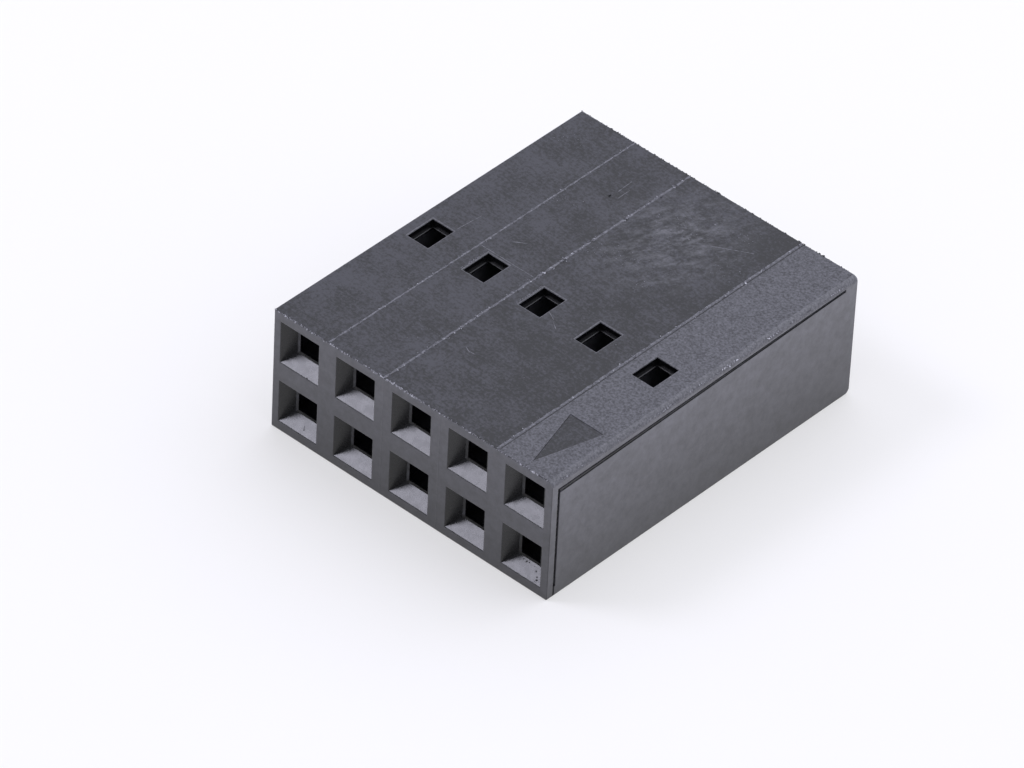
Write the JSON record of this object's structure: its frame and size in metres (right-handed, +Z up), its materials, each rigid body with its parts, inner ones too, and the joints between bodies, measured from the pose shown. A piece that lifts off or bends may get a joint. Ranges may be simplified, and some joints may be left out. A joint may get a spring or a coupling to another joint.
{
  "type": "connector housing",
  "caption": "Black moulded two-row connector housing with square pin funnels on the mating face, terminal cavities open at the rear and lock windows in its outer walls.",
  "frame": {"origin": "under the middle of the housing's outer box, on the face that it rests on", "axes": "+X along the columns towards the marked end, +Y from the mating face to the rear where the terminals go in, +Z up through the face with the first-circuit mark"},
  "size_m": [0.0126, 0.0152, 0.005],
  "materials": {
    "housing_plastic": "black glass-filled polyester as moulded, satin on the faces and spark-eroded matt on the marked end strip"
  },
  "bodies": {
    "root": {"housing": "housing_plastic"}
  },
  "joints": []
}
